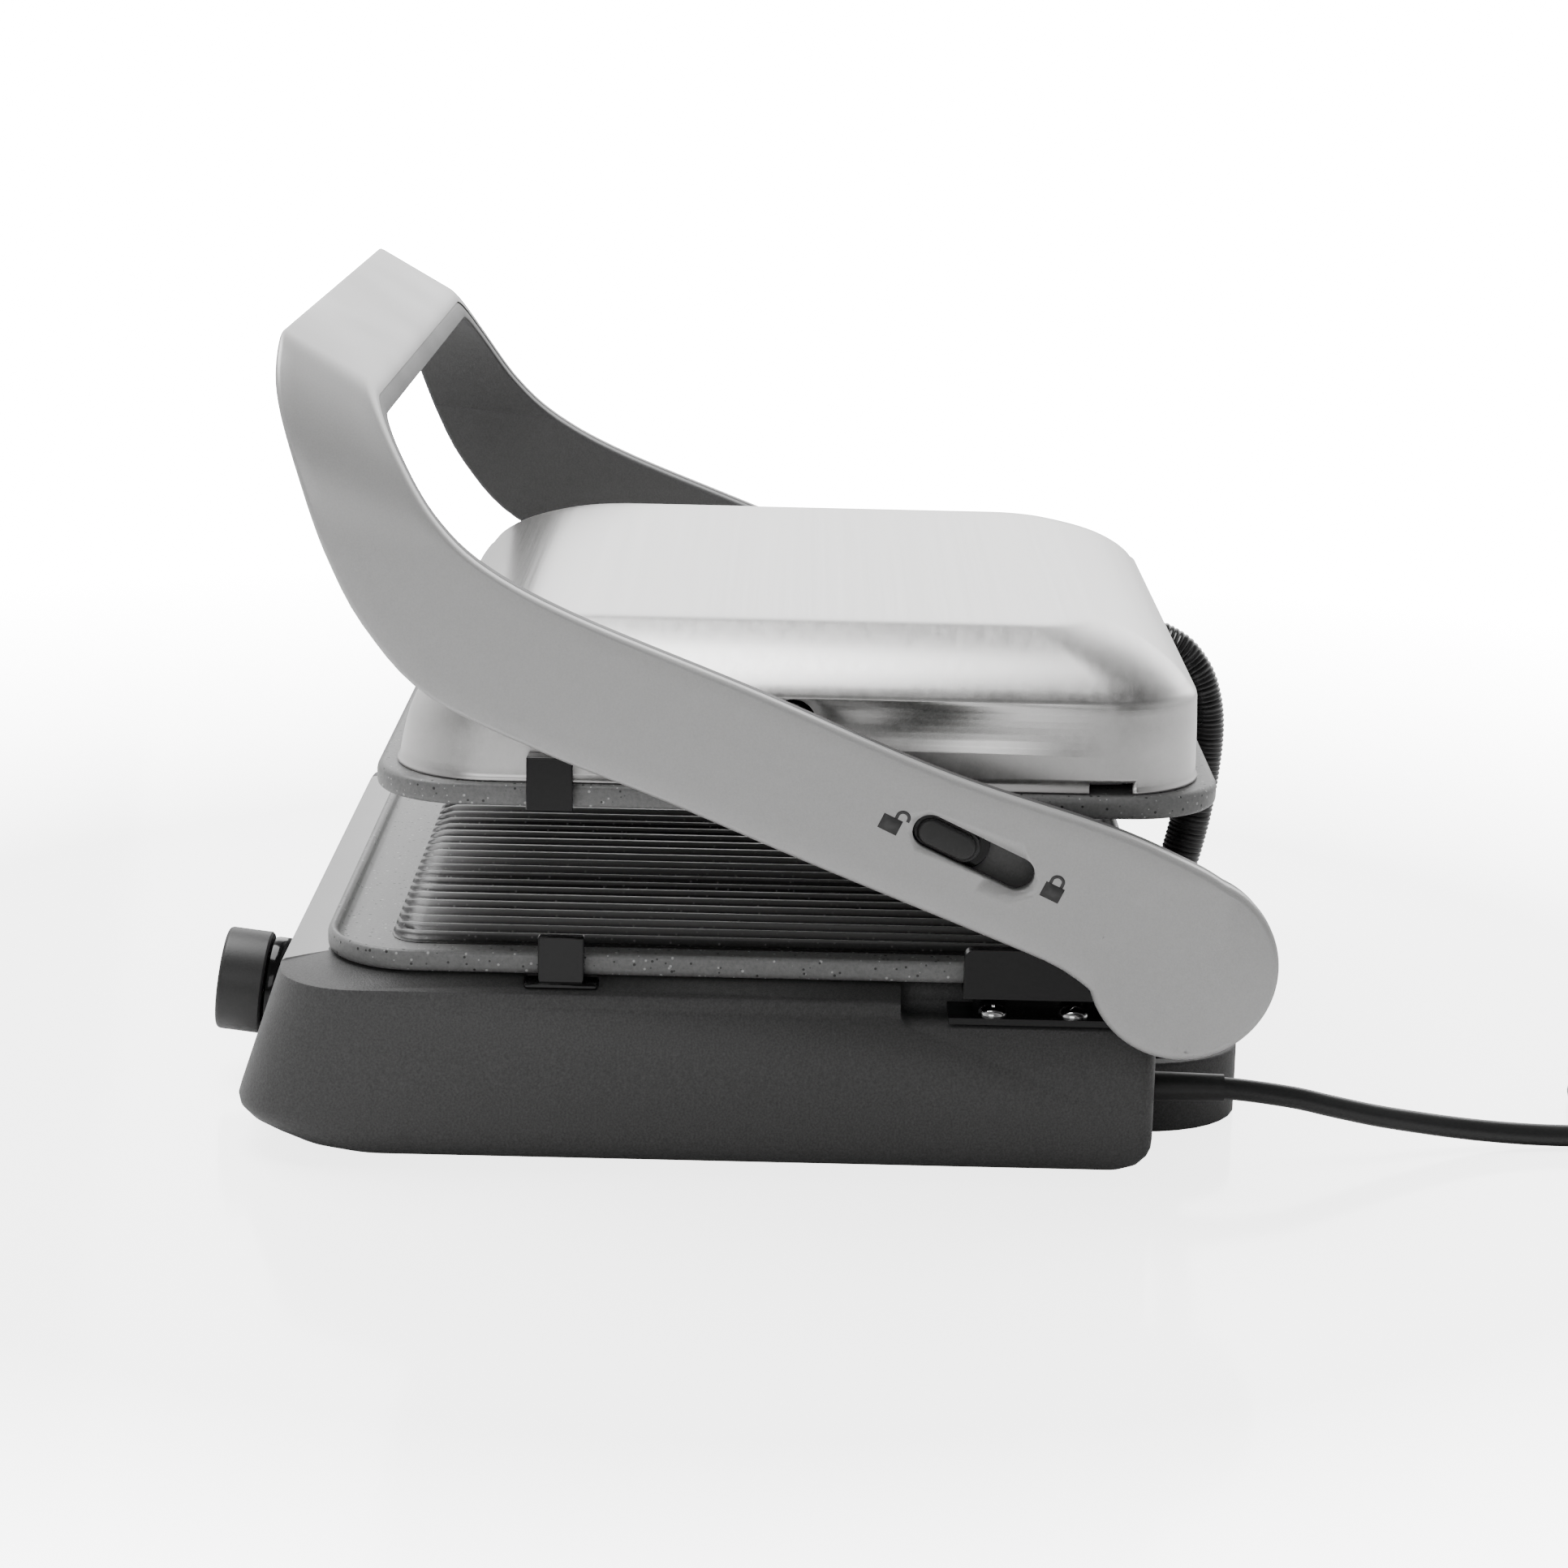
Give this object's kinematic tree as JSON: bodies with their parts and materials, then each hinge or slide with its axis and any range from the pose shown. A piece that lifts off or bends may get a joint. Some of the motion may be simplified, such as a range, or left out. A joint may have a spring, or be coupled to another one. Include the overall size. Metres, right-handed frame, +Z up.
{
  "type": "panini press",
  "caption": "Electric contact grill with ribbed plates, a brushed lid floating between two curved arms joined by a grip, control knob, lock slider and mains lead.",
  "frame": {"origin": "middle of the footprint on the surface that the feet stand on, without the mains lead", "axes": "+X along the hinge towards the arm with the lock slider, -Y towards the knob and grip, +Z up"},
  "size_m": [0.33, 0.5641, 0.2571],
  "materials": {
    "charcoal_plastic": "fine textured charcoal",
    "silver_paint": "satin light silver, very fine grain",
    "rubber": "soft black",
    "gloss_black": "black, semi-gloss",
    "coated_aluminium": "grey stone-look non-stick coating with specks",
    "element_metal": "heat-darkened sheath",
    "brushed_steel": "brushed across",
    "dark_liner": "dark grey moulding",
    "bright_metal": "bright plated"
  },
  "bodies": {
    "base": {"base_shell": "charcoal_plastic", "base_bottom": "charcoal_plastic", "front_panel": "silver_paint", "foot_front_left": "rubber", "foot_front_right": "rubber", "foot_rear_left": "rubber", "foot_rear_right": "rubber", "knob_collar": "gloss_black", "thermostat": "gloss_black", "lower_plate": "coated_aluminium", "lower_element": "element_metal", "lower_heat_shield": "brushed_steel", "hinge_bracket_right": "gloss_black", "hinge_bracket_left": "gloss_black", "bracket_screw_right_1": "bright_metal", "bracket_screw_right_2": "bright_metal", "bracket_screw_left_1": "bright_metal", "bracket_screw_left_2": "bright_metal", "cord_post_right": "charcoal_plastic", "cord_post_left": "charcoal_plastic", "strain_relief": "rubber", "power_cord": "rubber", "cord_coil": "rubber", "cord_tail": "rubber", "plug_body": "rubber", "plug_pin_1": "bright_metal", "plug_pin_2": "bright_metal"},
    "knob": {"control_knob": "charcoal_plastic", "thermostat_shaft": "bright_metal"},
    "hinge_carrier": {"hinge_pin_right": "bright_metal", "hinge_pin_left": "bright_metal", "conduit_lower": "rubber"},
    "handle": {"handle_yoke": "silver_paint", "arm_liner_right": "dark_liner", "arm_liner_left": "dark_liner", "grip_liner": "dark_liner", "lid_pin_right": "bright_metal", "lid_pin_left": "bright_metal", "conduit_middle": "rubber"},
    "lid": {"lid_shell": "brushed_steel", "lid_frame": "gloss_black", "upper_plate": "coated_aluminium", "upper_element": "element_metal", "conduit_upper": "rubber"},
    "lock": {"lock_button": "charcoal_plastic", "lock_bolt": "gloss_black"},
    "clip_lower_right": {"clip_lower_right": "gloss_black"},
    "clip_lower_left": {"clip_lower_left": "gloss_black"},
    "clip_upper_right": {"clip_upper_right": "gloss_black"},
    "clip_upper_left": {"clip_upper_left": "gloss_black"}
  },
  "joints": [
    {"name": "open_hinge", "type": "hinge", "parent": "base", "child": "hinge_carrier", "pos_m": [0, 0.13835, 0.0754], "axis": [-1, 0, 0], "range_deg": [0, 130], "deforming": ["conduit_lower"]},
    {"name": "press_hinge", "type": "hinge", "parent": "hinge_carrier", "child": "handle", "pos_m": [0, 0.13835, 0.0754], "axis": [-1, 0, 0], "range_deg": [-20.3, 0], "deforming": ["conduit_middle"]},
    {"name": "lid_float", "type": "hinge", "parent": "handle", "child": "lid", "pos_m": [0, 0.02045, 0.14185], "axis": [-1, 0, 0], "range_deg": [0, 20.3], "deforming": ["conduit_upper"]},
    {"name": "lock_slide", "type": "slide", "parent": "handle", "child": "lock", "axis": [0, 0.9041, -0.4274], "range_m": [0, 0.0178]},
    {"name": "knob_turn", "type": "hinge", "parent": "base", "child": "knob", "pos_m": [0.06, -0.1667, 0.0328], "axis": [0, -0.9934, 0.1149], "range_deg": [-270, 0]},
    {"name": "clip_lower_right_hinge", "type": "hinge", "parent": "base", "child": "clip_lower_right", "pos_m": [0.1454, -0.04905, 0.0602], "axis": [0, 1, 0], "range_deg": [0, 10], "stiffness_Nm_per_rad": 0.3},
    {"name": "clip_upper_right_hinge", "type": "hinge", "parent": "lid", "child": "clip_upper_right", "pos_m": [0.1454, -0.05295, 0.12935], "axis": [0, -1, 0], "range_deg": [0, 10], "stiffness_Nm_per_rad": 0.3},
    {"name": "clip_lower_left_hinge", "type": "hinge", "parent": "base", "child": "clip_lower_left", "pos_m": [-0.1454, -0.04905, 0.0602], "axis": [0, -1, 0], "range_deg": [0, 10], "stiffness_Nm_per_rad": 0.3},
    {"name": "clip_upper_left_hinge", "type": "hinge", "parent": "lid", "child": "clip_upper_left", "pos_m": [-0.1454, -0.05295, 0.12935], "axis": [0, 1, 0], "range_deg": [0, 10], "stiffness_Nm_per_rad": 0.3}
  ],
  "couplings": [
    {"joint": "lid_float", "follows": "press_hinge", "ratio": -1}
  ]
}
